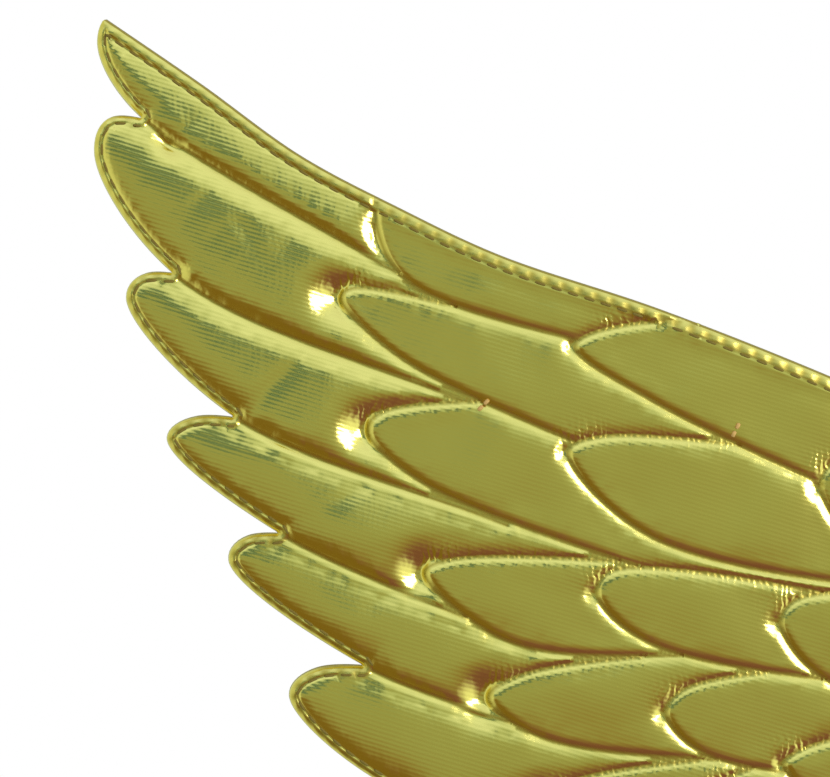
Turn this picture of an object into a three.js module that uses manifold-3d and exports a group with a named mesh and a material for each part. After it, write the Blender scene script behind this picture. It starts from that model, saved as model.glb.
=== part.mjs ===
// Gold costume wings: two padded, quilted wings on a plain centre pad, with elastic shoulder loops.
// Millimetres. The sewn feathers face -Y, the wearer is on the +Y side, +Z is up.
// The origin is the middle of the centre pad's back.
import * as THREE from 'three';
import { mergeVertices } from 'three/addons/utils/BufferGeometryUtils.js';
import Module from 'manifold-3d';

// Padding: the quilt is pressed thin along its stitch lines and swells between them.
const SEAM_THICKNESS = 2.0;
const PAD_THICKNESS = 5.4;
const SHOULDER_WIDTH = 3.4;
const SHOULDER_STEPS = 2;
const GROOVE_WIDTH = 1.6;

// The wings lean back from the wearer by this angle at the centre pad.
const SWEEP = THREE.MathUtils.degToRad(8);
const SEWN_GAP = 0.3;

// Centre pad and shoulder loops.
const CENTRE_PAD = { width: 36, height: 78, thickness: 5.6, corner: 9, edge: 1.6 };
const STRAP = { width: 15, thickness: 1.2, reach: 110, height: 130, flat: 40, offset: 9, splay: 0.3 };

// Outline points are [out, up]: out from the centre line, up from the middle of the centre pad.
const LEADING_EDGE = [
  [229, 142.6], [210, 129.6], [190, 115.2], [170, 104.6], [150, 95.2],
  [118, 84.4], [84, 71], [48, 55], [12, 33],
];
const LEADING_EDGE_STEPS = 27;

// A size that reaches past the wing on every side.
const BEYOND = 500;

// A feather is a smooth curve through five points. Its tip is the outermost one. The brow is where the
// upper side turns in, the belly is where the lower side does, and both sides end under the next row.
// Rows run from the flight feathers to the shoulder, each feather lying over the one below it. A last
// feather with a fan is repeated, each copy turned about the hub and made smaller.
const HUB = [26, -2];
const ROWS = [
  [ // flight feathers
    { tip: [231, 138.4], brow: [227.6, 144], topRoot: [130, 98], belly: [224.4, 125], lowRoot: [165, 88] },
    { tip: [231.6, 115.6], brow: [228, 123], topRoot: [130, 78], belly: [215, 90.8], lowRoot: [152, 63.6] },
    { tip: [225.2, 86.6], brow: [221, 91.6], topRoot: [142, 66], belly: [204.4, 63.2], lowRoot: [148.4, 40.8] },
    { tip: [217, 58.4], brow: [211, 62.8], topRoot: [122, 40], belly: [197, 40.8], lowRoot: [141, 15.6] },
    { tip: [204.6, 33.8], brow: [200.6, 38.8], topRoot: [110, 20], belly: [179.6, 13.8], lowRoot: [144, -0.2] },
    { tip: [192.4, 6.6], brow: [186.8, 12.2], topRoot: [96, -3], belly: [168, -14], lowRoot: [98, -22] },
    { tip: [178.8, -19.2], brow: [176, -15.2], topRoot: [50, -2], belly: [152, -36.4], lowRoot: [50, -16],
      fan: { copies: 5, turn: 10, shrink: 0.92 } },
  ],
  [ // greater coverts
    { tip: [175.2, 106], brow: [173.6, 110], topRoot: [98, 84], belly: [169.6, 90.6], lowRoot: [118, 73.4] },
    { tip: [181.8, 86.6], brow: [179.6, 88.4], topRoot: [98, 67.6], belly: [170, 74.4], lowRoot: [90, 39] },
    { tip: [176.4, 59.8], brow: [174, 63.4], topRoot: [74, 64.4], belly: [166, 49.6], lowRoot: [78, 18] },
    { tip: [165, 31.4], brow: [160, 34], topRoot: [70, 30], belly: [148, 17.4], lowRoot: [98, 14.6] },
    { tip: [152.2, 6.4], brow: [146, 10.8], topRoot: [78, 18], belly: [142, -1.6], lowRoot: [78, -8] },
    { tip: [141, -15.6], brow: [137.6, -11.2], topRoot: [50, -1], belly: [122, -25.6], lowRoot: [50, -12],
      fan: { copies: 3, turn: 11, shrink: 0.92 } },
  ],
  [ // median coverts
    { tip: [135, 76.8], brow: [120, 81.6], topRoot: [50, 72], belly: [120, 66], lowRoot: [42, 29.6] },
    { tip: [136.4, 55.6], brow: [130.4, 58.6], topRoot: [42, 49], belly: [120, 38.6], lowRoot: [42, 23.6] },
    { tip: [130.6, 27], brow: [128, 31.6], topRoot: [42, 19.6], belly: [120, 17.2], lowRoot: [42, 4.8] },
    { tip: [116.8, 3.2], brow: [113.2, 8], topRoot: [44, 15], belly: [109, -5], lowRoot: [44, -12] },
    { tip: [107.6, -14], brow: [104, -9.6], topRoot: [50, -1], belly: [95, -22], lowRoot: [50, -12],
      fan: { copies: 3, turn: 12, shrink: 0.92 } },
  ],
  [ // lesser coverts
    { tip: [77.6, 61], brow: [72, 67.6], topRoot: [30, 60], belly: [69, 52], lowRoot: [34, 37] },
    { tip: [85.8, 48.4], brow: [83.4, 53.2], topRoot: [38, 42], belly: [76, 34.6], lowRoot: [38, 21] },
    { tip: [93.8, 21.2], brow: [90.6, 26], topRoot: [42, 26], belly: [85, 10], lowRoot: [42, 3] },
    { tip: [93.2, -7.2], brow: [90, -4.2], topRoot: [42, 6], belly: [82, -15.6], lowRoot: [40, -12],
      fan: { copies: 2, turn: 14, shrink: 0.92 } },
  ],
  [ // shoulder
    { tip: [50, 8], brow: [45, 36], topRoot: [14, 66], belly: [44, -22], lowRoot: [14, -37] },
  ],
];

// Stations along a feather, as shares of its sides' length from the tip.
const STATIONS = [0.04, 0.11, 0.22, 0.38, 0.6, 0.82, 1];

// Across a feather the pad rises in three steps from each side: the stitch line, the steep foot of the
// shoulder and its round top. The last two are shares of the shoulder's width, and of a narrow feather's.
const FOOT = { ofShoulder: 0.3, ofFeather: 0.14 };
const TOP = { ofShoulder: 1, ofFeather: 0.32 };

// The pressed cloth between the feathers reaches almost to the notches of the outline.
const WEB_INSET = 0.03;

const wasm = await Module();
wasm.setup();

const gold = { color: 0xb9a548, roughness: 0.3, metalness: 1 };
const elastic = { color: 0xece6d6, roughness: 0.9, metalness: 0 };

function toSolid(geometry) {
  geometry.deleteAttribute('normal');
  geometry.deleteAttribute('uv');
  const merged = mergeVertices(geometry);
  return new wasm.Manifold(new wasm.Mesh({
    numProp: 3,
    vertProperties: new Float32Array(merged.attributes.position.array),
    triVerts: new Uint32Array(merged.index.array),
  }));
}

function toGeometry(solid) {
  const mesh = solid.getMesh();
  const geometry = new THREE.BufferGeometry();
  geometry.setAttribute('position', new THREE.BufferAttribute(mesh.vertProperties, 3));
  geometry.setIndex(new THREE.BufferAttribute(mesh.triVerts, 1));
  geometry.computeVertexNormals();
  return geometry;
}

function namedMesh(name, geometry, finish) {
  const mesh = new THREE.Mesh(geometry, new THREE.MeshStandardMaterial(finish));
  mesh.name = name;
  return mesh;
}

// The same feather, turned about the hub towards the wing's lower edge.
function fanned(feather, turn, shrink) {
  const hub = new THREE.Vector2(...HUB);
  const move = (point) => new THREE.Vector2(...point)
    .sub(hub)
    .rotateAround(new THREE.Vector2(), -THREE.MathUtils.degToRad(turn))
    .multiplyScalar(shrink)
    .add(hub)
    .toArray();
  const { tip, brow, topRoot, belly, lowRoot } = feather;
  return {
    tip: move(tip), brow: move(brow), topRoot: move(topRoot), belly: move(belly), lowRoot: move(lowRoot),
  };
}

function withFan(row) {
  const fan = row.at(-1).fan ?? { copies: 0 };
  const copies = Array.from({ length: fan.copies }, (_, i) => (
    fanned(row.at(-1), fan.turn * (i + 1), fan.shrink ** (i + 1))
  ));
  return [...row, ...copies];
}

function smooth(points, side) {
  return new THREE.CatmullRomCurve3(points.map(([out, up]) => new THREE.Vector3(side * out, up, 0)));
}

// The two sides of a feather, station by station from just past the tip.
function featherSides({ tip, brow, topRoot, belly, lowRoot }, side) {
  const flat = (p) => new THREE.Vector2(p.x, p.y);
  const curve = smooth([topRoot, brow, tip, belly, lowRoot], side);
  const lengths = curve.getLengths();
  const total = lengths.at(-1);
  const tipAt = lengths[(lengths.length - 1) / 2] / total;
  const upper = STATIONS.map((share) => flat(curve.getPointAt(tipAt - share * tipAt)));
  const lower = STATIONS.map((share) => flat(curve.getPointAt(tipAt + share * (1 - tipAt))));
  return { tip: flat(curve.getPointAt(tipAt)), upper, lower };
}

function sideLine({ tip, upper, lower }) {
  return [...upper.toReversed(), tip, ...lower];
}

// Distance from a point to the nearest side of a feather.
function distanceToSides(point, sides) {
  const line = sideLine(sides);
  const spans = line.slice(1).map((end, i) => {
    const run = end.clone().sub(line[i]);
    const share = THREE.MathUtils.clamp(point.clone().sub(line[i]).dot(run) / run.lengthSq(), 0, 1);
    return run.multiplyScalar(share).add(line[i]).distanceTo(point);
  });
  return Math.min(...spans);
}

// Points across a feather at one station, from the upper side to the lower one.
function padSection(start, end, sides) {
  const width = start.distanceTo(end);
  const inset = ({ ofShoulder, ofFeather }) => Math.min(ofFeather, ofShoulder * SHOULDER_WIDTH / width);
  const shares = [0, inset(FOOT), inset(TOP), 0.5, 1 - inset(TOP), 1 - inset(FOOT), 1];
  return shares.map((share) => {
    const p = start.clone().lerp(end, share);
    const reach = Math.min(distanceToSides(p, sides) / SHOULDER_WIDTH, 1);
    const rise = (PAD_THICKNESS - SEAM_THICKNESS) * Math.sqrt(1 - (1 - reach) ** 2);
    return new THREE.Vector3(p.x, p.y, SEAM_THICKNESS + rise);
  });
}

// A padded feather: flat behind, and in front rising in a round shoulder from its stitched sides.
function featherPad(sides, side) {
  const { tip, upper, lower } = sides;
  const sections = upper.map((start, k) => padSection(start, lower[k], sides));
  const across = sections[0].length;
  const front = [new THREE.Vector3(tip.x, tip.y, SEAM_THICKNESS), ...sections.flat()];
  const at = (k, j) => 1 + k * across + j;
  const last = sections.length - 1;

  const faces = [];
  for (let j = 0; j + 1 < across; j += 1) {
    faces.push([0, at(0, j), at(0, j + 1)]);
    for (let k = 0; k < last; k += 1) {
      faces.push([at(k, j), at(k + 1, j), at(k + 1, j + 1)]);
      faces.push([at(k, j), at(k + 1, j + 1), at(k, j + 1)]);
    }
  }
  const border = [
    0,
    ...sections.map((_, k) => at(k, 0)),
    ...sections[last].slice(2).map((_, j) => at(last, j + 1)),
    ...sections.map((_, k) => at(last - k, across - 1)),
  ];
  const behind = front.length;
  const walls = border.flatMap((from, i) => {
    const to = border[(i + 1) % border.length];
    return [[to, from, from + behind], [to, from + behind, to + behind]];
  });
  const back = faces.map(([a, b, c]) => [a + behind, c + behind, b + behind]);

  const all = [...faces, ...walls, ...back];
  const outward = side > 0 ? all : all.map(([a, b, c]) => [a, c, b]);
  const geometry = new THREE.BufferGeometry();
  geometry.setFromPoints([...front, ...front.map((p) => new THREE.Vector3(p.x, p.y, 0))]);
  geometry.setIndex(outward.flat());
  return toSolid(geometry);
}

// The pressed cloth that joins the feathers: a thin plate through the notches between the flight feathers.
function web(side) {
  const hub = new THREE.Vector2(...HUB);
  const flight = withFan(ROWS[0]);
  const shoulder = ROWS.at(-1)[0];
  const notches = flight.map(({ belly }) => new THREE.Vector2(...belly).lerp(hub, WEB_INSET).toArray());
  const corners = [flight[0].brow, ...notches, shoulder.lowRoot, shoulder.topRoot];
  const shape = new THREE.Shape(corners.map(([out, up]) => new THREE.Vector2(side * out, up)));
  return toSolid(new THREE.ExtrudeGeometry(shape, { depth: SEAM_THICKNESS, bevelEnabled: false }));
}

// A plate whose upper rim is rounded. Its lower rim lies below the quilt's back and is cut off later.
function roundedPlate(shape) {
  return toSolid(new THREE.ExtrudeGeometry(shape, {
    depth: SEAM_THICKNESS,
    bevelThickness: PAD_THICKNESS - SEAM_THICKNESS,
    bevelSize: SHOULDER_WIDTH,
    bevelOffset: -SHOULDER_WIDTH,
    bevelSegments: SHOULDER_STEPS,
  }));
}

// What a feather presses out of the padding under it: its own outline, widening upwards to a groove.
function pressedRoom(shape) {
  const rise = PAD_THICKNESS - SEAM_THICKNESS + SEWN_GAP;
  const room = new THREE.ExtrudeGeometry(shape, {
    depth: PAD_THICKNESS,
    bevelThickness: rise,
    bevelSize: GROOVE_WIDTH,
    bevelSegments: 1,
  });
  room.translate(0, 0, SEAM_THICKNESS + rise);
  return toSolid(room);
}

// Everything below the leading edge and outside the root edge, with the same rounded rim.
function wingLimits(side, rootOut) {
  const edge = smooth(LEADING_EDGE, side).getPoints(LEADING_EDGE_STEPS);
  const inner = edge.findIndex((p) => Math.abs(p.x) < rootOut);
  const [from, to] = [edge[inner - 1], edge[inner]];
  const root = from.clone().lerp(to, (side * rootOut - from.x) / (to.x - from.x));
  const shape = new THREE.Shape([...edge.slice(0, inner), root].map((p) => new THREE.Vector2(p.x, p.y)));
  shape.lineTo(side * rootOut, -BEYOND);
  shape.lineTo(side * BEYOND, -BEYOND);
  shape.lineTo(side * BEYOND, edge[0].y);
  return roundedPlate(shape);
}

function wing(name, side) {
  const rootOut = CENTRE_PAD.width / 2 + SEWN_GAP + PAD_THICKNESS * Math.sin(SWEEP);
  let quilt = web(side);
  for (const row of ROWS) {
    for (const feather of withFan(row).reverse()) {
      const sides = featherSides(feather, side);
      const shape = new THREE.Shape(sideLine(sides));
      quilt = quilt.subtract(pressedRoom(shape)).add(featherPad(sides, side));
    }
  }
  const behind = new THREE.BoxGeometry(2 * BEYOND, 2 * BEYOND, BEYOND).translate(0, 0, -BEYOND / 2);
  quilt = quilt.intersect(wingLimits(side, rootOut)).subtract(toSolid(behind));

  const mesh = namedMesh(name, toGeometry(quilt), gold);
  mesh.rotation.x = Math.PI / 2;
  mesh.position.x = -side * rootOut;
  const hinge = new THREE.Group();
  hinge.position.x = side * rootOut;
  hinge.rotation.z = -side * SWEEP;
  hinge.add(mesh);
  return hinge;
}

function roundedRectangle(width, height, radiusX, radiusY) {
  const x = width / 2;
  const y = height / 2;
  const shape = new THREE.Shape();
  shape.absellipse(x - radiusX, y - radiusY, radiusX, radiusY, 0, Math.PI / 2);
  shape.absellipse(radiusX - x, y - radiusY, radiusX, radiusY, Math.PI / 2, Math.PI);
  shape.absellipse(radiusX - x, radiusY - y, radiusX, radiusY, Math.PI, 1.5 * Math.PI);
  shape.absellipse(x - radiusX, radiusY - y, radiusX, radiusY, 1.5 * Math.PI, 2 * Math.PI);
  return shape;
}

function centrePad() {
  const { width, height, thickness, corner, edge } = CENTRE_PAD;
  const geometry = new THREE.ExtrudeGeometry(roundedRectangle(width, height, corner, corner), {
    depth: thickness - 2 * edge,
    bevelThickness: edge,
    bevelSize: edge,
    bevelOffset: -edge,
    bevelSegments: 2,
    curveSegments: 5,
  });
  geometry.translate(0, 0, edge).rotateX(Math.PI / 2);
  return namedMesh('centre_pad', geometry, gold);
}

// A flat band bent to a loop: its front run lies on the centre pad's back, its other run stands behind.
function strap(name, side) {
  const { width, thickness, reach, height, flat, offset, splay } = STRAP;
  const bend = { x: reach / 2, y: (height - flat) / 2 };
  const loop = roundedRectangle(reach, height, bend.x, bend.y);
  loop.holes.push(roundedRectangle(
    reach - 2 * thickness, height - 2 * thickness, bend.x - thickness, bend.y - thickness,
  ));
  const band = new THREE.ExtrudeGeometry(loop, { depth: width, bevelEnabled: false, curveSegments: 9 });
  band.translate(reach / 2 + SEWN_GAP, 0, -width / 2);
  // Turned so that the loop stands in the Y-Z plane with the band's width along X, then splayed outwards.
  band.applyMatrix4(new THREE.Matrix4().set(
    side * splay, 0, 1, side * offset,
    1, 0, 0, 0,
    0, 1, 0, 0,
    0, 0, 0, 1,
  ));
  return namedMesh(name, band, elastic);
}

const wings = new THREE.Group();
wings.add(wing('left_wing', -1));
wings.add(wing('right_wing', 1));
wings.add(centrePad());
wings.add(strap('left_strap', -1));
wings.add(strap('right_strap', 1));

export default wings;
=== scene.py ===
import math

import bpy
import bmesh
import numpy as np
from mathutils import Matrix, Vector, noise
from mathutils.geometry import delaunay_2d_cdt
from mathutils.kdtree import KDTree


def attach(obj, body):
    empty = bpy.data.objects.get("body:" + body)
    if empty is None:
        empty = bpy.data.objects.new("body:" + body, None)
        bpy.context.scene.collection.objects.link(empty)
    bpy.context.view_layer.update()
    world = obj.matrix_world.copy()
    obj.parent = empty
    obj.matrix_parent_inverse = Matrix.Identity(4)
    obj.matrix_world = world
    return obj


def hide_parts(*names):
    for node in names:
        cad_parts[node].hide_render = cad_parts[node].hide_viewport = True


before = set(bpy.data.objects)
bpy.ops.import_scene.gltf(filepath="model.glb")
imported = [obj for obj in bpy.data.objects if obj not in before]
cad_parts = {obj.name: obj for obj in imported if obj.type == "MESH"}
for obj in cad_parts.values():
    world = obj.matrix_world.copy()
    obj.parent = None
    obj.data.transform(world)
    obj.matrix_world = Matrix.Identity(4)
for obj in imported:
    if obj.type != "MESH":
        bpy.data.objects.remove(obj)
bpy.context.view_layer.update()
mm = 0.001
print("frame loaded:", sorted(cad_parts))

# Shape of one wing, flat on the table. Points are (out, up) in mm, as in the part's own table.
featherColumns = ("tip", "brow", "topRoot", "belly", "lowRoot")
wingCut = {
    "hub": (26, -2),
    "sweep": math.radians(8),      # how far each wing leans back from the wearer
    "rootOut": 18 + 0.3 + 5.4 * math.sin(math.radians(8)),
    "leadingEdge": [(229, 142.6), (210, 129.6), (190, 115.2), (170, 104.6), (150, 95.2),
                    (118, 84.4), (84, 71), (48, 55), (12, 33)],
    "rows": [
        [   # flight feathers
            ((231, 138.4), (227.6, 144), (130, 98), (224.4, 125), (165, 88)),
            ((231.6, 115.6), (228, 123), (130, 78), (215, 90.8), (152, 63.6)),
            ((225.2, 86.6), (221, 91.6), (142, 66), (204.4, 63.2), (148.4, 40.8)),
            ((217, 58.4), (211, 62.8), (122, 40), (197, 40.8), (141, 15.6)),
            ((204.6, 33.8), (200.6, 38.8), (110, 20), (179.6, 13.8), (144, -0.2)),
            ((192.4, 6.6), (186.8, 12.2), (96, -3), (168, -14), (98, -22)),
            ((178.8, -19.2), (176, -15.2), (50, -2), (152, -36.4), (50, -16)),
        ],
        [   # greater coverts
            ((175.2, 106), (173.6, 110), (98, 84), (169.6, 90.6), (118, 73.4)),
            ((181.8, 86.6), (179.6, 88.4), (98, 67.6), (170, 74.4), (90, 39)),
            ((176.4, 59.8), (174, 63.4), (74, 64.4), (166, 49.6), (78, 18)),
            ((165, 31.4), (160, 34), (70, 30), (148, 17.4), (98, 14.6)),
            ((152.2, 6.4), (146, 10.8), (78, 18), (142, -1.6), (78, -8)),
            ((141, -15.6), (137.6, -11.2), (50, -1), (122, -25.6), (50, -12)),
        ],
        [   # median coverts
            ((135, 76.8), (120, 81.6), (50, 72), (120, 66), (42, 29.6)),
            ((136.4, 55.6), (130.4, 58.6), (42, 49), (120, 38.6), (42, 23.6)),
            ((130.6, 27), (128, 31.6), (42, 19.6), (120, 17.2), (42, 4.8)),
            ((116.8, 3.2), (113.2, 8), (44, 15), (109, -5), (44, -12)),
            ((107.6, -14), (104, -9.6), (50, -1), (95, -22), (50, -12)),
        ],
        [   # lesser coverts
            ((77.6, 61), (72, 67.6), (30, 60), (69, 52), (34, 37)),
            ((85.8, 48.4), (83.4, 53.2), (38, 42), (76, 34.6), (38, 21)),
            ((93.8, 21.2), (90.6, 26), (42, 26), (85, 10), (42, 3)),
            ((93.2, -7.2), (90, -4.2), (42, 6), (82, -15.6), (40, -12)),
        ],
        [   # shoulder
            ((50, 8), (45, 36), (14, 66), (44, -22), (14, -37)),
        ],
    ],
    # the last feather of a row is repeated: copies, degrees about the hub, size of each next one
    "fans": [(5, 10, 0.92), (3, 11, 0.92), (3, 12, 0.92), (2, 14, 0.92), (0, 0, 1)],
}

# How the quilt is stuffed and sewn, in mm.
quilt = {
    "lineStep": 0.95, "fineStep": 0.15, "treeStep": 0.3,   # points along stitch lines, samples, search trees
    "grid": 2.6, "clear": 1.0,
    "seam": 2.8, "edge": 1.0,   # thickness at a stitch line and half of it at the rim
    # the feather that lies on top: its edge rounds down to the line
    "padRise": 1.05, "wall": 3.0, "flightRise": 1.7, "flightWall": 4.8,
    # the feather it lies on: a lip, then a rise that is slow in the flight feathers, which lie tilted
    "tuckSlope": 0.42, "tuck": 1.0, "tuckRise": 0.42, "tuckFade": 4.0, "flightFade": 12.0, "lipBlend": 0.25,
    "firstFlights": ((1.7, 5.0, 4.2), (1.7, 3.8, 4.4), (1.7, 3.8, 4.4)),   # rise, fade, wall of the longest
    # inside the piped edge: the stitched step, a small wall, then a slope
    "rimSeam": 0.85, "flightSeam": 0.5, "rimRise": 0.1, "rimWall": 0.7,
    "rimFade": 3.5, "flightRim": 9.0, "tipFade": 3.5,
    "crownSpan": 0.24, "deepest": -1.3,
    # the piped edge, round the tips and along the leading edge
    "beadWidth": 1.9, "leadingBead": 2.8, "beadRise": 0.9, "leadingRise": 1.15,
    "tipOuter": 0.5, "beadOuter": 0.28, "tipLean": 0.85, "beadLean": 0.5,
    "beadStitch": 0.74, "beadPinch": 0.16, "beadPitch": 3.4,
    "notch": (0.5, 0.5),   # where a line runs into the piped edge: share of its rise, and reach
    "puckerRise": 0.03, "puckerPitch": 2.1, "puckerReach": (1.0, 0.8), "wrinkleFade": 2.6,
    # rise, size and seed of the wrinkles at the lines and of the slow swells
    "wrinkles": (0.12, 2.6, 1.7), "swells": (0.3, 13.0, 4.2),
    "crumples": (0.085, 0.06, 0.04, 0.02, 0.02, 0.02, 0.014),   # of the flight feathers, then of all others
    "crumpleSize": 2.2, "crumpleSeed": 7.7,
    # beside each tip: depth, reach outwards and up, shift out and down
    # for the topmost greater covert, then for the other rows as they come
    "tipDips": ((1.5, 3.0, 5.0, -2.2, 6.5), (2.1, 4.0, 4.2, 1.2, 0), (0.8, 1.5, 1.6, 0.5, 0),
                (0.8, 1.5, 1.6, 0.5, 0), (0.8, 2.0, 2.0, 0.6, 0)),
    "dipEnd": 3, "gatherEnd": 2.5,   # in reaches
    # a second line below each flight feather's lower edge
    "ridge": 2.2, "ridgeDip": 0.22, "ridgeWidth": 0.8, "ridgeFade": 5.0,
    # gathers along the top edges, in the flight feathers and above the tips
    "edgeGathers": 0.45, "edgeReach": (0.4, 0.9), "flightGathers": (0.08, 0.05, 0.04, 0.03, 0.03, 0.03, 0),
    "gatherShift": (-1.0, 2.0), "gatherReach": (4.5, 2.4),
    "blend": 0.8, "backDip": 0.7, "backFade": 1.4, "backRound": 1.6,
    # how far from a line each form is whole
    "whole": {"blend": 2, "bulge": 1.5, "wrinkle": 1.4, "swell": 4, "crumple": 2, "dent": 1,
              "tipDip": 1, "rimDip": 3, "crease": 1.5, "back": 1.5},
}


def smoothLine(points, step):
    # centripetal curve through the points, as the part's own feathers have
    p = np.array(points, float)
    p = np.vstack([2 * p[0] - p[1], p, 2 * p[-1] - p[-2]])
    spans = []
    for a, b, c, d in zip(p, p[1:], p[2:], p[3:]):
        ab, bc, cd = (math.sqrt(max(np.linalg.norm(q), 1e-4)) for q in (b - a, c - b, d - c))
        leave = ((b - a) / ab - (c - a) / (ab + bc) + (c - b) / bc) * bc
        reach = ((c - b) / bc - (d - b) / (bc + cd) + (d - c) / cd) * bc
        count = max(3, math.ceil(np.linalg.norm(c - b) / step))
        t = np.linspace(0, 1, count, endpoint=False)[:, None]
        spans.append(b + leave * t + (3 * c - 3 * b - 2 * leave - reach) * t ** 2
                     + (2 * b - 2 * c + leave + reach) * t ** 3)
    return np.vstack(spans + [p[-2:-1]])


def arcLength(line):
    return np.concatenate([[0], np.cumsum(np.linalg.norm(np.diff(line, axis=0), axis=1))])


def evenly(line, step):
    along = arcLength(line)
    marks = np.linspace(0, along[-1], max(2, round(along[-1] / step) + 1))
    return np.column_stack([np.interp(marks, along, line[:, 0]), np.interp(marks, along, line[:, 1])]), marks


def insideOf(points, polygon):
    x, y = points[:, 0], points[:, 1]
    px, py = polygon[:, 0], polygon[:, 1]
    qx, qy = np.roll(px, -1), np.roll(py, -1)
    near = np.flatnonzero((x > px.min()) & (x < px.max()) & (y > py.min()) & (y < py.max()))
    xs, ys = x[near, None], y[near, None]
    rise = np.where(qy == py, 1e-12, qy - py)
    crossed = ((py > ys) != (qy > ys)) & (xs < px + (ys - py) * (qx - px) / rise)
    inside = np.zeros(len(points), bool)
    inside[near] = np.count_nonzero(crossed, axis=1) % 2 == 1
    return inside


def fannedCopies(row, fan):
    copies, turn, shrink = fan
    hub = np.array(wingCut["hub"])
    made = []
    for n in range(1, copies + 1):
        a = -math.radians(turn * n)
        spin = np.array([[math.cos(a), -math.sin(a)], [math.sin(a), math.cos(a)]])
        made.append(tuple(tuple(hub + shrink ** n * (spin @ (np.array(p) - hub))) for p in row[-1]))
    return list(row) + made


# Feathers from the lowest to the topmost, each with its row, tip and outline.
feathers = []
for rowIndex, row in enumerate(wingCut["rows"]):
    for place, points in reversed(list(enumerate(fannedCopies(row, wingCut["fans"][rowIndex])))):
        feather = dict(zip(featherColumns, points), row=rowIndex, place=place)
        feather["line"] = smoothLine([feather[k] for k in ("topRoot", "brow", "tip", "belly", "lowRoot")],
                                     quilt["lineStep"])
        feathers.append(feather)

leading = smoothLine(wingCut["leadingEdge"], quilt["lineStep"])
inner = int(np.argmax(leading[:, 0] < wingCut["rootOut"]))
share = (leading[inner - 1, 0] - wingCut["rootOut"]) / (leading[inner - 1, 0] - leading[inner, 0])
rootTop = leading[inner - 1] + share * (leading[inner] - leading[inner - 1])
leading = np.vstack([leading[:inner], rootTop])
far, rootLow = 500, -40
limits = np.vstack([leading, [(rootTop[0], -far), (far, -far), (far, leading[0, 1])]])
rootEdge, _ = evenly(np.array([rootTop, (rootTop[0], rootLow)]), quilt["lineStep"])

flight = sorted((f for f in feathers if f["row"] == 0), key=lambda f: f["place"])
hubPoint = np.array(wingCut["hub"])
inset = 0.03   # the cloth between the feathers stays this share short of their bellies
web = np.array([flight[0]["brow"]] + [np.array(f["belly"]) * (1 - inset) + hubPoint * inset for f in flight]
               + [feathers[-1]["lowRoot"], feathers[-1]["topRoot"]])
covers = [f["line"] for f in feathers] + [web]


def inWing(points):
    held = np.zeros(len(points), bool)
    for polygon in covers:
        held |= insideOf(points, polygon)
    return held & insideOf(points, limits)


def runsOf(line, keep):
    # stretches of a line whose spans are kept
    runs, start = [], None
    for i, kept in enumerate(list(keep) + [False]):
        if kept and start is None:
            start = i
        if not kept and start is not None:
            if i - start > 1:
                runs.append(line[start:i + 1])
            start = None
    return runs


def middles(line):
    return (line[1:] + line[:-1]) / 2


# Stitch lines that show: what no higher feather covers.
stitchRuns = []
for i, feather in enumerate(feathers):
    line = feather["line"]
    keep = insideOf(middles(line), limits)
    for higher in feathers[i + 1:]:
        keep &= ~insideOf(middles(line), higher["line"])
    feather["runs"] = runsOf(line, keep)
    stitchRuns += feather["runs"]
print("feathers:", len(feathers), "runs:", len(stitchRuns))


def leftOf(line):
    way = np.gradient(line, axis=0)
    way /= np.linalg.norm(way, axis=1)[:, None]
    return np.column_stack([-way[:, 1], way[:, 0]])


def below(line, offset):
    # the same line moved towards the next feather down
    side = leftOf(line)
    side *= np.sign(-side[:, 1:2] + 1e-9)
    return line + side * offset


largeFlights, shortestRidge = 6, 8   # feathers with a second line, and the fewest points it has


def ridgeRuns():
    # the second line, from each large flight feather's tip along its lower edge
    made = []
    for feather in flight[:largeFlights]:
        rank = feathers.index(feather)
        line = evenly(feather["line"], quilt["lineStep"])[0]
        line = below(line[int(np.argmax(line[:, 0])):], quilt["ridge"])
        keep = inWing(middles(line) + np.array((0.0, -1.0)))
        for higher in feathers[rank + 1:]:
            keep &= ~insideOf(middles(line), higher["line"])
        ahead = flight[flight.index(feather) + 1]["line"]
        keep &= insideOf(middles(line), ahead)
        made += [r for r in runsOf(line, keep) if len(r) > shortestRidge]
    return made


secondRuns = ridgeRuns()


def pointTree(points):
    tree = KDTree(len(points))
    for i, p in enumerate(points):
        tree.insert((p[0], p[1], 0.0), i)
    tree.balance()
    return tree


def nearest(tree, points):
    found = [tree.find((p[0], p[1], 0.0)) for p in points]
    return np.array([f[2] for f in found]), np.array([f[1] for f in found])


def hexGrid(step, low, high):
    rows = np.arange(low[1], high[1], step * math.sqrt(0.75))
    cols = np.arange(low[0], high[0], step)
    x, y = np.meshgrid(cols, rows)
    x = x + (np.arange(len(rows)) % 2)[:, None] * step / 2
    return np.column_stack([x.ravel(), y.ravel()])


def tidied(flat, tris):
    # only the points that the faces use
    used, again = np.unique(tris, return_inverse=True)
    return flat[used], again.reshape(-1, 3)


def withoutEars(flat, tris):
    # drops corner faces with two rim edges, which front and back would share
    _, which, counts = edgesOf(tris)
    ear = (counts[which.reshape(-1, 3)] == 1).sum(axis=1) > 1
    return tidied(flat, tris[~ear])


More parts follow.
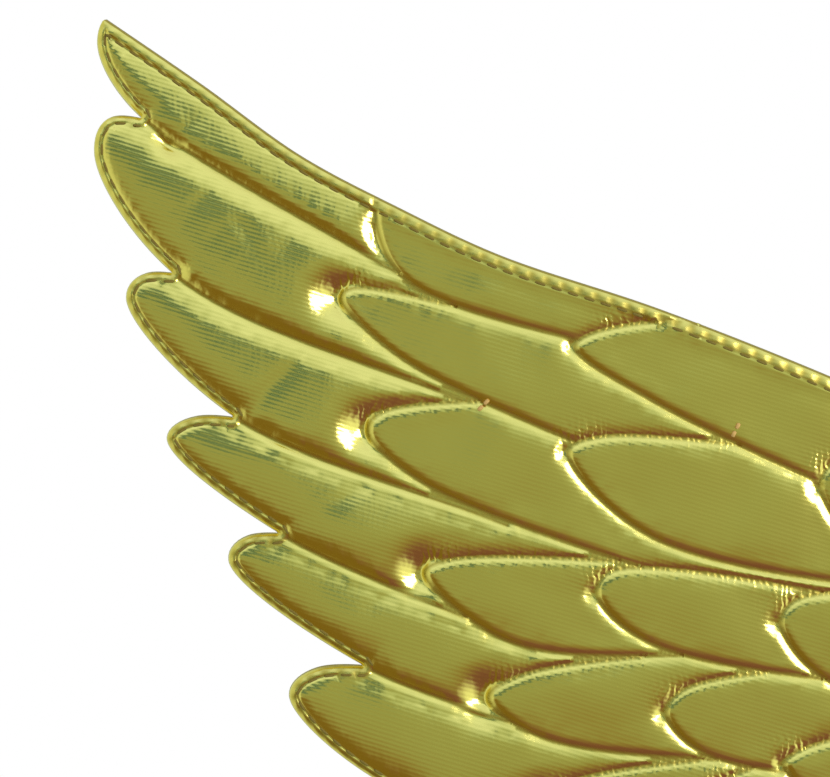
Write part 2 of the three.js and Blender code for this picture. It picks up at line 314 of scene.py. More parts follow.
def triangulate(runs, loose, inside):
    # a flat mesh whose edges follow the runs
    points, edges = [], []
    count = 0
    for run in runs:
        points.append(run)
        edges += [(count + i, count + i + 1) for i in range(len(run) - 1)]
        count += len(run)
    points.append(loose)
    every = np.vstack(points)
    coords, _, faces, _, _, _ = delaunay_2d_cdt([Vector(p) for p in every], edges, [], 0, 1e-4)
    flat = np.array([(c[0], c[1]) for c in coords])
    tris = np.array(faces, int)
    flat, tris = tidied(flat, tris[inside(flat[tris].mean(axis=1))])
    a, b, c = (flat[tris[:, k]] for k in range(3))
    turn = (b[:, 0] - a[:, 0]) * (c[:, 1] - a[:, 1]) - (b[:, 1] - a[:, 1]) * (c[:, 0] - a[:, 0])
    tris[turn < 0] = tris[turn < 0][:, ::-1]
    return flat, tris


def edgesOf(tris):
    pairs = np.sort(tris[:, [[0, 1], [1, 2], [2, 0]]].reshape(-1, 2), axis=1)
    return np.unique(pairs, axis=0, return_inverse=True, return_counts=True)


def halved(flat, tris):
    pairs, which, _ = edgesOf(tris)
    mid = which.reshape(-1, 3) + len(flat)
    a, b, c = tris.T
    ab, bc, ca = mid.T
    finer = np.vstack([np.column_stack(q) for q in ((a, ab, ca), (b, bc, ab), (c, ca, bc), (ab, bc, ca))])
    return np.vstack([flat, flat[pairs].mean(axis=1)]), finer


def splitRim(flat, tris):
    # the same mesh with only its rim edges halved
    pairs, which, counts = edgesOf(tris)
    atRim = counts == 1
    middle = np.full(len(pairs), -1)
    middle[atRim] = len(flat) + np.arange(atRim.sum())
    made = []
    for corners, mids in zip(tris.tolist(), middle[which.reshape(-1, 3)].tolist()):
        ring = [v for pair in zip(corners, mids) for v in pair if v >= 0]
        # a fan from a corner that faces the cut edge, or from a cut where there are two
        twoCuts = len(ring) > 4
        start = next(v for v in ring if v >= len(flat)) if twoCuts else corners[(np.argmax(mids) + 2) % 3]
        at = ring.index(start)
        ring = ring[at:] + ring[:at]
        if len(ring) == 5 and ring[2] < len(flat):
            ring = ring[3:] + ring[:3]
        made += [(ring[0], b, c) for b, c in zip(ring[1:], ring[2:])]
    return np.vstack([flat, flat[pairs[atRim]].mean(axis=1)]), np.array(made)


def rimLoops(tris):
    # closed rings of rim vertices, in order
    ways = set(map(tuple, tris[:, [[0, 1], [1, 2], [2, 0]]].reshape(-1, 2).tolist()))
    ahead = {}
    for a, b in sorted(ways):
        if (b, a) not in ways:
            ahead.setdefault(a, []).append(b)
    loops = []
    for start in list(ahead):
        while ahead[start]:
            loop, here = [start], ahead[start].pop()
            while here != start:
                loop.append(here)
                here = ahead[here].pop()
            loops.append(loop)
    return loops


low, high = np.array((15.0, -95.0)), np.array((235.0, 146.0))   # box that holds the flat wing
lines = stitchRuns + [leading, rootEdge]
onRim, onLeadingEdge = 0.12, 0.25   # a point this near lies on it, in mm
beadEase = 20                       # samples to each side over which the bead changes its width


def sampled(runs):
    # points along many runs, with each one's own length so far and run number
    parts = [evenly(r, quilt["fineStep"]) for r in runs]
    return (np.vstack([p for p, _ in parts]), np.concatenate([s for _, s in parts]),
            np.concatenate([np.full(len(s), i) for i, (_, s) in enumerate(parts)]))


# The rim comes from a first mesh of the lines alone.
flat, tris = triangulate(lines, np.empty((0, 2)), inWing)
rimRuns = [flat[loop + loop[:1]] for loop in rimLoops(tris)]
rimPoints, rimAlong, _ = sampled(rimRuns)
rimTree = pointTree(rimPoints)
leadTree = pointTree(evenly(leading, quilt["treeStep"])[0])
onLeading = nearest(leadTree, rimPoints)[0] < onLeadingEdge
window = np.ones(2 * beadEase + 1) / (2 * beadEase + 1)
rimSoft = np.convolve(np.pad(onLeading.astype(float), beadEase, mode="wrap"), window, mode="valid")
beadAt = quilt["beadWidth"] + (quilt["leadingBead"] - quilt["beadWidth"]) * rimSoft

# Inner lines only: a run that lies on the rim is the bead's own.
innerRuns, innerOwner = [], []
for rank, feather in enumerate(feathers):
    for run in feather["runs"]:
        parts = runsOf(run, nearest(rimTree, middles(run))[0] > onRim)
        innerRuns += parts
        innerOwner += [rank] * len(parts)
innerOwner = np.array(innerOwner)
innerPoints, innerAlong, innerRun = sampled(innerRuns)
innerTree = pointTree(innerPoints)
innerWay = np.gradient(innerPoints, axis=0)
innerSlope = np.abs(np.degrees(np.arctan(innerWay[:, 1] / innerWay[:, 0])))
levelTo, levelFade, justBelow = 26, 10, (0, 0.8)   # degrees where level ends and over which it fades, mm
innerTop = np.clip((levelTo - innerSlope) / levelFade, 0, 1)   # 1 along a feather's level top edge
for rank, feather in enumerate(feathers):
    own = innerOwner[innerRun] == rank
    innerTop[own] *= insideOf(innerPoints[own] - justBelow, feather["line"])
secondPoints, secondAlong, secondRun = sampled(secondRuns)
secondLength = np.array([arcLength(r)[-1] for r in secondRuns])
secondTree = pointTree(secondPoints)
lineTree = pointTree(np.vstack([rimPoints, innerPoints, secondPoints]))
nearShare = 0.93                                  # of the offset: a guide stops where another line is nearer
cornerTurn, shortestSide = math.radians(35), 4    # corners of the rim, and the fewest spans between two


def shifted(line, offset):
    # the line moved to its left, cut where another line is nearer
    moved = line + leftOf(line) * np.reshape(offset, (-1, 1))
    clear = nearest(lineTree, moved)[0] > np.abs(offset) * nearShare
    return runsOf(moved, clear[1:] & clear[:-1])


def guideRuns():
    # lines for the mesh to follow beside each stitch line and inside the rim
    made = []
    for run, rank in zip(innerRuns, innerOwner):
        line, _ = evenly(run, quilt["lineStep"])
        middle = len(line) // 2
        way = line[middle] - line[middle - 1]
        beside = line[middle] + np.array((-way[1], way[0])) / np.linalg.norm(way)
        side = 1 if insideOf(beside[None], feathers[rank]["line"])[0] else -1
        for offset in (quilt["wall"] / 2 * side, quilt["wall"] * side, -quilt["tuck"] * side):
            made += shifted(line, offset)
    for ring in rimRuns:
        way = np.diff(ring, axis=0)
        angle = np.arctan2(way[:, 1], way[:, 0])
        bend = np.abs((np.diff(angle, prepend=angle[-1:]) + math.pi) % (2 * math.pi) - math.pi)
        corners = np.flatnonzero(bend > cornerTurn)
        ring = np.vstack([ring[corners[0]:-1], ring[:corners[0] + 1]])
        for a, b in zip(corners - corners[0], np.append(corners[1:] - corners[0], len(ring) - 1)):
            if b - a > shortestSide:
                line = ring[a:b + 1]
                bead = beadAt[nearest(rimTree, line)[1]]
                for offset in (bead * quilt["beadOuter"], bead * quilt["beadStitch"], bead,
                               bead + quilt["rimWall"]):
                    made += shifted(line, offset)
    return made


guides = guideRuns()
guideTree = pointTree(np.vstack([evenly(r, quilt["treeStep"])[0] for r in lines + secondRuns + guides]))


def loosePoints(step, clear):
    grid = hexGrid(step, low, high)
    grid = grid[inWing(grid)]
    return grid[nearest(guideTree, grid)[0] > clear]


flat, tris = triangulate(lines + secondRuns + guides, loosePoints(quilt["grid"], quilt["clear"]), inWing)
flat, tris = withoutEars(*withoutEars(flat, tris))
print("front cut:", len(flat), "points,", len(tris), "faces, rim rings", [len(x) for x in rimLoops(tris)])

# The stuffing: the front cloth, held along its stitches and blown up by a cloth simulation, 100 mm to a unit.
inflate = {
    "scale": 0.01, "pressure": 4.0, "frames": 20, "quality": 4, "mass": 0.3,
    "tension": 15.0, "shear": 5.0, "bending": 0.5, "limit": 1.5, "smoothing": 10,
    "held": 0.05,   # mm from a stitch line
}


def inflated(flat, tris, gap):
    # height of the cloth in mm when the simulation ends
    f = inflate
    mesh = bpy.data.meshes.new("skin")
    mesh.from_pydata(np.column_stack([flat * f["scale"], np.zeros(len(flat))]).tolist(), [], tris.tolist())
    skin = bpy.data.objects.new("skin", mesh)
    bpy.context.scene.collection.objects.link(skin)
    skin.vertex_groups.new(name="held").add(np.flatnonzero(gap <= f["held"]).tolist(), 1.0, "REPLACE")
    cloth = skin.modifiers.new("cloth", "CLOTH")
    cloth.collision_settings.use_collision = False
    rules = cloth.settings
    rules.vertex_group_mass = "held"
    rules.use_pressure = True
    rules.uniform_pressure_force = f["pressure"]
    rules.effector_weights.gravity = 0
    rules.quality = f["quality"]
    rules.mass = f["mass"]
    rules.tension_stiffness = rules.compression_stiffness = f["tension"]
    rules.shear_stiffness = f["shear"]
    rules.bending_stiffness = f["bending"]
    for step in range(1, f["frames"] + 1):
        bpy.context.scene.frame_set(step)
    blown = np.zeros(len(flat) * 3, np.float32)
    skin.evaluated_get(bpy.context.evaluated_depsgraph_get()).data.vertices.foreach_get("co", blown)
    bpy.data.objects.remove(skin)
    bpy.data.meshes.remove(mesh)
    bpy.context.scene.frame_set(1)
    rise = np.clip(blown.reshape(-1, 3)[:, 2] / f["scale"], 0, f["limit"])
    pairs, _, _ = edgesOf(tris)
    count = np.bincount(pairs.ravel(), minlength=len(flat))
    for _ in range(f["smoothing"]):
        around = np.bincount(pairs[:, 0], rise[pairs[:, 1]], len(flat))
        around += np.bincount(pairs[:, 1], rise[pairs[:, 0]], len(flat))
        rise = np.where(gap > f["held"], around / count, 0)
    return rise


rimGap, rimNear = nearest(rimTree, flat)
innerGap, _ = nearest(innerTree, flat)
stitchGap = np.minimum(innerGap, np.abs(rimGap - beadAt[rimNear]))
crown = inflated(flat, tris, np.where(rimGap < beadAt[rimNear], 0.0, stitchGap))
print("crown:", round(float(crown.max()), 2), round(float(np.median(crown)), 2))
pairs, _, _ = edgesOf(tris)
crown = np.concatenate([crown, crown[pairs].mean(axis=1)])
backFlat, backTris = splitRim(flat, tris)
flat, tris = halved(flat, tris)

rimGap, rimNear = nearest(rimTree, flat)
innerGap, innerNear = nearest(innerTree, flat)
secondGap, secondNear = nearest(secondTree, flat)

topmost = np.full(len(flat), -1)
for rank, feather in enumerate(feathers):
    topmost[insideOf(flat, feather["line"])] = rank
farOff = 99.0


def perFeather(value, other):
    # a value for each point by its topmost feather
    return np.array([value(f) for f in feathers] + [other])[topmost]


def gapsByFeather():
    # distance to a feather's own lower lines and to the lines of the feathers that lie on it
    own, over = np.full(len(flat), farOff), np.full(len(flat), farOff)
    owner = innerOwner[innerRun]
    for rank in range(-1, len(feathers)):
        here = np.flatnonzero(topmost == rank)
        for gaps, those in ((own, owner == rank), (over, owner > rank)):
            if len(here) and those.any():
                gaps[here] = nearest(pointTree(innerPoints[those]), flat[here])[0]
    return own, over


ownGap, overGap = gapsByFeather()

# How far each feather bulges, by row, and along the flight feathers.
crownRise = {"rows": (0.42, 0.14, 0.14, 0.18, 0.5), "flight": (0.2, 0.4, 0.4, 0.6, 0.45, 0.4), "web": 0.3}


def isLarge(feather):
    return feather["row"] == 0 and feather["place"] < largeFlights


def bulge():
    c = crownRise
    rise = perFeather(lambda f: c["flight"][f["place"]] if isLarge(f) else c["rows"][f["row"]], c["web"])
    return rise * (1 - np.exp(-crown / quilt["crownSpan"])) / (1 - math.exp(-1))


def quarterRound(share):
    return np.sqrt(np.clip(1 - (1 - np.clip(share, 0, 1)) ** 2, 0, 1))


def wander(points, size, seed):
    return np.array([noise.noise((p[0] / size, p[1] / size, seed)) for p in points])


def softLesser(a, b, blend):
    h = np.clip(0.5 + 0.5 * (b - a) / blend, 0, 1)
    return b + (a - b) * h - blend * h * (1 - h)


def smoothStep(share):
    s = np.clip(share, 0, 1)
    return s * s * (3 - 2 * s)


def pinched(along):
    # pillows between the stitches of a piped edge
    return 1 - quilt["beadPinch"] * (0.5 + 0.5 * np.cos(2 * math.pi * along / quilt["beadPitch"]))


def beadProfile(t, rim, rise, outer, lean, stitched):
    # a piped edge: steep outside, a flat top that leans outwards, down to the stitches
    top = rise * (1 - lean + lean * t)
    down = smoothStep((t - quilt["beadStitch"]) / (1 - quilt["beadStitch"]))
    return rim + (quilt["seam"] + top - rim) * quarterRound(t / outer) - (top - stitched) * down


# Folds pressed into the feathers: from, to, depth and half width in mm.
creases = [
    ((189.5, 74.5), (201, 63), 0.24, 1.7),
    ((176.5, 49), (184.5, 44.5), 0.15, 1.6),
    ((171, 27.5), (177.5, 24.5), 0.12, 1.5),
    ((203, 103), (199, 97), 0.16, 1.4),
    ((207, 108.5), (212, 104), 0.14, 1.6),
]
dents = [(1, (215.8, 118.2), 1.5, 2.7)]   # in which flight feather, centre, depth and reach


def wholeFrom(form, gap):
    # 0 at a line, 1 where the form is whole
    return np.minimum(gap / quilt["whole"][form], 1)


def frontHeight():
    q = quilt
    bead = beadAt[rimNear]
    inBead = rimGap < bead
    fromBead = np.where(inBead, farOff, np.maximum(rimGap - bead, 0))
    gap = np.minimum(innerGap, fromBead)
    inFlight = perFeather(lambda f: f["row"] == 0, False)
    rise = np.where(inFlight, q["flightRise"], q["padRise"])
    wall = np.where(inFlight, q["flightWall"], q["wall"])
    tuckFade = np.where(inFlight, q["flightFade"], q["tuckFade"])
    rimReach = np.where(inFlight, q["flightRim"], q["rimFade"])
    place = perFeather(lambda f: f["place"] if f["row"] == 0 else -1, -1)
    for first, (high, fade, edge) in enumerate(q["firstFlights"]):
        rise[place == first] = high
        wall[place == first] = edge
        tuckFade[place == first] = fade
        rimReach[place == first] = fade
    topWall = rise * (1 - (1 - np.clip(ownGap / wall, 0, 1)) ** 2)
    slow = q["tuckRise"] + (rise - q["tuckRise"]) * (1 - np.exp(-overGap / tuckFade))
    tucked = softLesser(q["tuckSlope"] * overGap, slow, q["lipBlend"])
    blend = q["blend"] * wholeFrom("blend", gap) + 1e-3
    pad = softLesser(topWall, tucked, blend)
    rimSeam = np.where(inFlight, q["flightSeam"], q["rimSeam"])
    rimFade = q["tipFade"] + (rimReach - q["tipFade"]) * rimSoft[rimNear]
    rimPad = (rimSeam + q["rimRise"] * quarterRound(fromBead / q["rimWall"])
              + (rise - rimSeam - q["rimRise"]) * (1 - np.exp(-fromBead / rimFade)))
    pad = softLesser(pad, rimPad, blend)
    pad += bulge() * wholeFrom("bulge", gap)
    # second line of stitching under each flight feather's lower edge
    toEnd = np.minimum(secondAlong, secondLength[secondRun] - secondAlong)[secondNear]
    pad -= q["ridgeDip"] * np.exp(-(secondGap / q["ridgeWidth"]) ** 2) * smoothStep(toEnd / q["ridgeFade"])
    # puckers at the stitches and loose wrinkles that fade into the pad
    beat = np.cos(2 * math.pi * innerAlong[innerNear] / q["puckerPitch"])
    wrinkleRise, wrinkleSize, wrinkleSeed = q["wrinkles"]
    loose = wander(flat, wrinkleSize, wrinkleSeed)
    middle, reach = q["puckerReach"]
    pucker = beat * (1 + loose) * innerTop[innerNear] * np.exp(-np.abs(innerGap - middle) / reach)
    pad += q["puckerRise"] * pucker
    pad += wrinkleRise * loose * wholeFrom("wrinkle", innerGap) * np.exp(-innerGap / q["wrinkleFade"])
    swellRise, swellSize, swellSeed = q["swells"]
    pad += swellRise * wander(flat, swellSize, swellSeed) * wholeFrom("swell", gap)
    crumpled = perFeather(lambda f: q["crumples"][f["place"] if isLarge(f) else -1], 0)
    pad += crumpled * wander(flat, q["crumpleSize"], q["crumpleSeed"]) * wholeFrom("crumple", gap)
    for dented, centre, depth, reach in dents:
        bowl = depth * np.exp(-np.sum((flat - centre) ** 2, axis=1) / reach ** 2)
        pad -= (place == dented) * bowl * wholeFrom("dent", gap)
    for f in feathers:
        if f["row"] == 0:
            continue
        dip, outReach, upReach, shift, drop = q["tipDips"][f["row"] if f["row"] > 1 or f["place"] else 0]
        away = np.linalg.norm((flat - (np.array(f["tip"]) + (shift, -drop))) / (outReach, upReach), axis=1)
        near = away < q["dipEnd"]
        near[near] &= ~insideOf(flat[near], f["line"])
        clear = wholeFrom("tipDip", innerGap[near]) * wholeFrom("rimDip", fromBead[near])
        pad[near] -= dip * np.exp(-away[near] ** 2) * clear
    for start, end, depth, width in creases:
        start, end = np.array(start), np.array(end)
        share = np.clip((flat - start) @ (end - start) / np.sum((end - start) ** 2), 0, 1)
        away = np.linalg.norm(flat - start - share[:, None] * (end - start), axis=1)
        fold = np.exp(-(away / width) ** 2) * np.sin(math.pi * (0.1 + 0.8 * share))
        pad -= depth * fold * wholeFrom("crease", gap)
    # the piped edge, notched where a stitch line runs into it
    t = np.clip(rimGap / bead, 0, 1)
    notch = 1 - q["notch"][0] * np.exp(-innerGap / q["notch"][1])
    outer, beadRise, lean = (q[tip] + (q[straight] - q[tip]) * rimSoft[rimNear] for tip, straight in (
        ("tipOuter", "beadOuter"), ("beadRise", "leadingRise"), ("tipLean", "beadLean")))
    beadZ = beadProfile(t, q["edge"], beadRise * pinched(rimAlong[rimNear]) * notch, outer, lean, rimSeam)
    return np.where(inBead, beadZ, q["seam"] + np.maximum(pad, q["deepest"]))


# Where the stitches press the foil dull, and painted shade darkens the stitched grooves, the gaps between the
# piped edge's pillows and its inner side:
# shares at the lines in front and behind and in the piped edge, width of a line, from how far to how far from
# the first tip the edge's painted shade grows, in mm, and across the edge.
dullAndShade = {
    "line": 0.7, "back": 0.8, "bead": 0.22, "pinch": 0.5, "width": 0.36,
    "shadeStart": 8, "shadeWhole": 83, "across": (0.2, 0.4),
}


def dullShadeLine(share, gap):
    # darker share along a stitch line: dull pressed foil with painted shade in the groove
    return share * np.exp(-(gap / dullAndShade["width"]) ** 2)


def pressedShare():
    # share of dull pressed foil and painted shade: at the lines, between the edge's pillows and across the
    # edge's inner side
    d = dullAndShade
    t = rimGap / beadAt[rimNear]
    pinch = (1 - pinched(rimAlong[rimNear])) / quilt["beadPinch"]
    # the painted shade in the piped edge grows with distance from the first tip, where the edge is left light
    fromTip = np.linalg.norm(flat - flight[0]["tip"], axis=1)
    shadeWhole = smoothStep((fromTip - d["shadeStart"]) / (d["shadeWhole"] - d["shadeStart"]))
    start, end = d["across"]
    inBead = d["bead"] * shadeWhole + d["pinch"] * pinch * (0.5 + 0.5 * shadeWhole)
    inBead *= smoothStep((t - start) / (end - start))
    return np.where(t < 1, inBead, dullShadeLine(d["line"], innerGap))


def gatheredShare():
    # small folds along the top edges, most of all above the tips, and in the first flight feathers
    middle, reach = quilt["edgeReach"]
    share = quilt["edgeGathers"] * innerTop[innerNear] * np.exp(-((innerGap - middle) / reach) ** 2)
    for rank, f in enumerate(feathers):
        if f["row"] == 0:
            loose = quilt["flightGathers"][min(f["place"], largeFlights)]
            share = np.where(topmost == rank, np.maximum(share, loose), share)
        if f["row"] in (1, 2, 3):
            spot = (np.array(f["tip"]) + f["brow"]) / 2 + quilt["gatherShift"]
            away = np.linalg.norm((flat - spot) / quilt["gatherReach"], axis=1)
            near = away < quilt["gatherEnd"]
            near[near] &= ~insideOf(flat[near], f["line"])
            share[near] = np.maximum(share[near], np.exp(-away[near] ** 2))
    return np.where(rimGap > beadAt[rimNear], share, 0)


height = frontHeight()
print("front heights:", round(float(height.min()), 2), round(float(height.max()), 2))

# The back: the same rim, with low quilting.
backRim, _ = nearest(rimTree, backFlat)
backGap, _ = nearest(innerTree, backFlat)
backHeight = quilt["backDip"] * np.exp(-backGap / quilt["backFade"]) * wholeFrom("back", backRim)
backHeight += quilt["edge"] * (1 - quarterRound(backRim / quilt["backRound"]))
print("back cut:", len(backFlat), "points,", len(backTris), "faces")

uvSpan = 250        # mm of cloth to one unit of its UV map
weldReach = 2e-5    # metres


def placed(outUp, z, side):
    # flat (out, up, height) in mm to the worn place in metres
    sweep = -side * wingCut["sweep"]
    x = side * (outUp[:, 0] - wingCut["rootOut"])
    y = -z
    c, s = math.cos(sweep), math.sin(sweep)
    return np.column_stack([side * wingCut["rootOut"] + x * c - y * s, x * s + y * c, outUp[:, 1]]) * mm


def meshPiece(name, verts, faces, material):
    mesh = bpy.data.meshes.new(name)
    mesh.from_pydata(verts.tolist(), [], [list(map(int, f)) for f in faces])
    mesh.validate()
    mesh.shade_smooth()
    mesh.materials.append(material)
    piece = bpy.data.objects.new(name, mesh)
    bpy.context.scene.collection.objects.link(piece)
    return piece


def setUv(mesh, perVertex, name):
    layer = mesh.uv_layers.new(name=name)
    index = np.zeros(len(mesh.loops), int)
    mesh.loops.foreach_get("vertex_index", index)
    layer.data.foreach_set("uv", perVertex[index].astype(np.float32).ravel())


def rimOf(tris, count):
    atRim = np.zeros(count, bool)
    atRim[[v for loop in rimLoops(tris) for v in loop]] = True
    return atRim


def closed(piece, weld):
    # rim points within the weld merged, in metres, and faces turned outwards
    bm = bmesh.new()
    bm.from_mesh(piece.data)
    if weld:
        bmesh.ops.remove_doubles(bm, verts=[v for v in bm.verts if v.is_boundary], dist=weld)
    bmesh.ops.recalc_face_normals(bm, faces=bm.faces)
    bm.to_mesh(piece.data)
    print(piece.name, len(piece.data.polygons), "faces, open edges", sum(e.is_boundary for e in bm.edges))
    bm.free()
    return piece


def sewnPiece(name, verts, faces, uv, marks, material):
    # front and back cloth, welded along the rim
    piece = meshPiece(name, verts, faces, material)
    setUv(piece.data, uv, "cloth")
    for mark, share in marks.items():
        piece.data.attributes.new(mark, "FLOAT", "POINT").data.foreach_set("value", share.astype(np.float32))
    return closed(piece, weldReach)


def wingPiece(name, side, material):
    every = np.vstack([flat, backFlat])
    z = np.concatenate([np.where(rimOf(tris, len(flat)), quilt["edge"], height),
                        np.where(rimOf(backTris, len(backFlat)), quilt["edge"], backHeight)])
    faces = np.vstack([tris, backTris[:, ::-1] + len(flat)])
    uv = every / uvSpan + (0, 0.4)
    # the stitches' dull foil with painted shade along the lines and in the piped edge, front and back
    marks = {"pressed": np.concatenate([pressedShare(), dullShadeLine(dullAndShade["back"], backGap)]),
             "gathered": np.concatenate([gatheredShare(), np.zeros(len(backFlat))])}
    return sewnPiece(name, placed(every, z, side), faces, uv, marks, material)


def nodeMaterial(name):
    material = bpy.data.materials.new(name)
    material.use_nodes = True
    tree = material.node_tree
    tree.nodes.clear()
    out = tree.nodes.new("ShaderNodeOutputMaterial")
    shader = tree.nodes.new("ShaderNodeBsdfPrincipled")
    tree.links.new(shader.outputs[0], out.inputs[0])
    return material, tree, shader


def node(tree, kind, inputs=None, **settings):
    made = tree.nodes.new(kind)
    for key, value in settings.items():
        setattr(made, key, value)
    for key, value in (inputs or {}).items():
        if isinstance(value, bpy.types.NodeSocket):
            tree.links.new(value, made.inputs[key])
        else:
            made.inputs[key].default_value = value
    return made


def mixed(tree, share, first, second):
    # the first colour, turning to the second by the share
    first, second = (c if isinstance(c, bpy.types.NodeSocket) else (*c, 1) for c in (first, second))
    mix = node(tree, "ShaderNodeMix", {"Factor": share, "A": first, "B": second}, data_type="RGBA")
    return mix.outputs["Result"]


def eased(tree, value, start, whole):
    # 0 at the start, 1 where it is whole
    return node(tree, "ShaderNodeMapRange", {"Value": value, "From Min": start, "From Max": whole},
                interpolation_type="SMOOTHSTEP").outputs[0]


def product(tree, first, second):
    return node(tree, "ShaderNodeMath", {0: first, 1: second}, operation="MULTIPLY").outputs[0]


def mottle(tree, where, scale, detail):
    spots = node(tree, "ShaderNodeTexNoise", {"Vector": where, "Scale": scale, "Detail": detail})
    return spots.outputs["Fac"]


def bands(tree, uv, direction, pitch, distortion, detail, detailScale):
    # waves on the cloth's own map, pitch in mm
    settings = {"Vector": uv, "Scale": uvSpan * math.pi / (10 * pitch), "Distortion": distortion,
                "Detail": detail, "Detail Scale": detailScale}
    return node(tree, "ShaderNodeTexWave", settings, wave_type="BANDS", bands_direction=direction,
                wave_profile="SIN").outputs["Fac"]


goldFoil = {
    "colour": (0.87, 0.72, 0.215), "deep": (0.84, 0.68, 0.19), "mottle": 14.0, "roughness": 0.17,
    # the stitches' dark colour is painted shade in the grooves and between the pillows, with the real dull
    # pressed foil
    "pressed": (0.36, 0.26, 0.03), "dull": 0.5,   # along the stitches
    # pitches in mm, the ribs' turn in degrees, heights in metres
    "ribPitch": 0.85, "ribTurn": 17, "ribHeight": 0.000012, "ribShare": (0.62, 1.0), "ribFrom": 0.05,
    "crinkle": 1.6, "crinkleHeight": 0.000006, "gatherPitch": 1.35, "gatherHeight": 0.0001,
}


def goldFoilCloth():
    g = goldFoil
    material, tree, shader = nodeMaterial("gold_foil_cloth")
    uv = node(tree, "ShaderNodeUVMap", uv_map="cloth").outputs[0]
    turn = node(tree, "ShaderNodeMapping", {"Vector": uv, "Rotation": (0, 0, math.radians(-g["ribTurn"]))})
    ribs = bands(tree, turn.outputs[0], "Y", g["ribPitch"], distortion=0.6, detail=1.0, detailScale=0.5)
    folds = bands(tree, uv, "X", g["gatherPitch"], distortion=7.0, detail=2.0, detailScale=1.2)
    gathered = node(tree, "ShaderNodeAttribute", attribute_name="gathered").outputs["Fac"]
    pressed = node(tree, "ShaderNodeAttribute", attribute_name="pressed").outputs["Fac"]
    ribbed = node(tree, "ShaderNodeMapRange", {"Value": gathered, "From Max": g["ribFrom"],
                                               "To Min": g["ribShare"][0], "To Max": g["ribShare"][1]})
    crumple = mottle(tree, uv, uvSpan / g["crinkle"], detail=1.0)
    crinkle = node(tree, "ShaderNodeBump", {"Height": crumple, "Strength": 1.0,
                                            "Distance": g["crinkleHeight"]})
    gather = node(tree, "ShaderNodeBump", {"Height": product(tree, folds, gathered), "Strength": 1.0,
                                           "Distance": g["gatherHeight"], "Normal": crinkle.outputs[0]})
    bump = node(tree, "ShaderNodeBump", {"Height": ribs, "Strength": ribbed.outputs[0],
                                         "Distance": g["ribHeight"], "Normal": gather.outputs[0]})
    tint = mixed(tree, mottle(tree, uv, g["mottle"], detail=3.0), g["deep"], g["colour"])
    dull = node(tree, "ShaderNodeMapRange", {"Value": pressed, "To Min": g["roughness"], "To Max": g["dull"]})
    # painted shade: the pressed share turns the foil towards the dark shade colour
    tree.links.new(mixed(tree, pressed, tint, g["pressed"]), shader.inputs["Base Color"])
    tree.links.new(dull.outputs[0], shader.inputs["Roughness"])
    tree.links.new(bump.outputs[0], shader.inputs["Normal"])
    shader.inputs["Metallic"].default_value = 1.0
    return material


foilCloth = goldFoilCloth()
leftWing = wingPiece("left_wing_quilt", -1, foilCloth)
rightWing = wingPiece("right_wing_quilt", 1, foilCloth)
for piece, cadNode in ((leftWing, "left_wing"), (rightWing, "right_wing")):
    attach(piece, "root")
    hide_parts(cadNode)

# The padded panel between the wings, sizes in mm as in the part.
panel = {
    "width": 36.0, "height": 78.0, "thickness": 5.6, "corner": 9.0, "rim": 1.4,
    "bead": 2.4, "beadRise": 0.8, "wall": 3.2, "pillow": 1.1, "stitched": 0.3, "fullest": 1.3,
    "grid": 1.1, "clear": 0.5, "ringStep": 0.6, "fineStep": 0.1, "backRound": 2.0, "backLine": 0.9,
}


cornerPoints = 25


def roundedRing(width, height, acrossCorner, upCorner, step):
    # a closed ring with elliptic corners
    arcs = []
    for right, up, start in ((1, 1, 0), (-1, 1, 90), (-1, -1, 180), (1, -1, 270)):
        a = np.radians(np.linspace(start, start + 90, cornerPoints))
        arcs.append(np.column_stack([right * (width / 2 - acrossCorner) + acrossCorner * np.cos(a),
                                     up * (height / 2 - upCorner) + upCorner * np.sin(a)]))
    return evenly(np.vstack(arcs + [arcs[0][:1]]), step)


def panelPiece(name, material):
    p = panel
    ring, _ = roundedRing(p["width"], p["height"], p["corner"], p["corner"], p["ringStep"])
    fine, along = roundedRing(p["width"], p["height"], p["corner"], p["corner"], p["fineStep"])
    half = np.array((p["width"], p["height"])) / 2
    ringTree = pointTree(fine)
    loose = hexGrid(p["grid"], -half, half)
    loose = loose[insideOf(loose, ring) & (nearest(ringTree, loose)[0] > p["clear"])]
    flat, tris = triangulate([ring], loose, lambda points: insideOf(points, ring))
    gap, near = nearest(ringTree, flat)
    t = np.clip(gap / p["bead"], 0, 1)
    bead = beadProfile(t, p["rim"], p["beadRise"] * pinched(along[near]), quilt["beadOuter"],
                       quilt["beadLean"], p["stitched"])
    top = p["thickness"] - quilt["seam"] - p["pillow"]
    fromBead = gap - p["bead"]
    wall = quarterRound(fromBead / p["wall"])
    pillow = p["stitched"] + (top - p["stitched"]) * wall
    pillow += p["pillow"] * (1 - (flat[:, 0] / half[0]) ** 2) * np.cos(flat[:, 1] / half[1] * math.pi / 2)
    pillow = np.minimum(pillow, p["stitched"] + top * wall * p["fullest"])
    front = np.where(fromBead < 0, bead, quilt["seam"] + pillow)
    back = p["rim"] * (1 - quarterRound(gap / p["backRound"]))
    back += quilt["backDip"] * np.exp(-(fromBead / p["backLine"]) ** 2)
    atRim = rimOf(tris, len(flat))
    every = np.vstack([flat, flat])
    z = np.concatenate([np.where(atRim, p["rim"], front), np.where(atRim, p["rim"], back)])
    verts = np.column_stack([every[:, 0], -z, every[:, 1]]) * mm
    faces = np.vstack([tris, tris[:, ::-1] + len(flat)])
    # the panel's stitched line: dull pressed foil with painted shade
    marks = {"pressed": np.tile(dullShadeLine(dullAndShade["back"], fromBead), 2)}
    return sewnPiece(name, verts, faces, every / uvSpan + 0.5, marks, material)


centrePanel = panelPiece("centre_pad_quilt", foilCloth)
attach(centrePanel, "root")
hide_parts("centre_pad")

